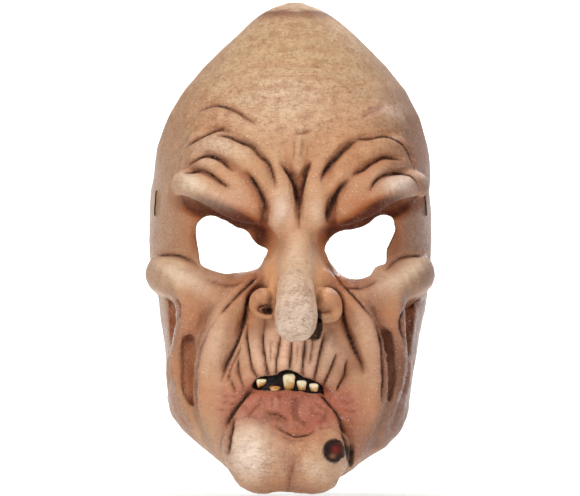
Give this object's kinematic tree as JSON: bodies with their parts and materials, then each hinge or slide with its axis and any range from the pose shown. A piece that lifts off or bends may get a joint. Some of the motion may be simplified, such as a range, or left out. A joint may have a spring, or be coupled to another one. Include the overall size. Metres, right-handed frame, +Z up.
{
  "type": "latex halloween mask",
  "caption": "Front-of-head latex mask of a scowling old ogre with pointed crown, hooked nose, snaggle teeth and chin wart, worn on an elastic band stapled at the temples.",
  "frame": {"origin": "the point midway between the wearer's eyes, where the mask sits on the head", "axes": "+Z up the wearer's face, +Y towards the back of the wearer's head (the mask looks along -Y), +X to the right as seen from the front"},
  "size_m": [0.1504, 0.1668, 0.255],
  "materials": {
    "latex_skin": "painted latex, satin with glossy creases",
    "gum_latex": "dark painted latex, glossy",
    "tooth_enamel": "stained resin, glossy",
    "gauze": "open cotton weave set in latex",
    "elastic": "flat woven elastic",
    "staple_wire": "dulled wire"
  },
  "bodies": {
    "face": {"latex_face_shell": "latex_skin", "gum_plate": "gum_latex", "upper_tooth_corner": "tooth_enamel", "upper_tooth_long": "tooth_enamel", "upper_tooth_middle": "tooth_enamel", "upper_tooth_small": "tooth_enamel", "lower_tooth": "tooth_enamel", "left_temple_patch": "gauze", "right_temple_patch": "gauze", "left_band_end": "elastic", "right_band_end": "elastic", "left_staple": "staple_wire", "right_staple": "staple_wire"},
    "strap": {"elastic_band": "elastic"}
  },
  "joints": [
    {"name": "strap_swing", "type": "hinge", "parent": "face", "child": "strap", "pos_m": [0, 0.038, 0.0166], "axis": [1, 0, 0], "range_deg": [-35, 80], "stiffness_Nm_per_rad": 0.02, "springref_deg": 2.86}
  ]
}
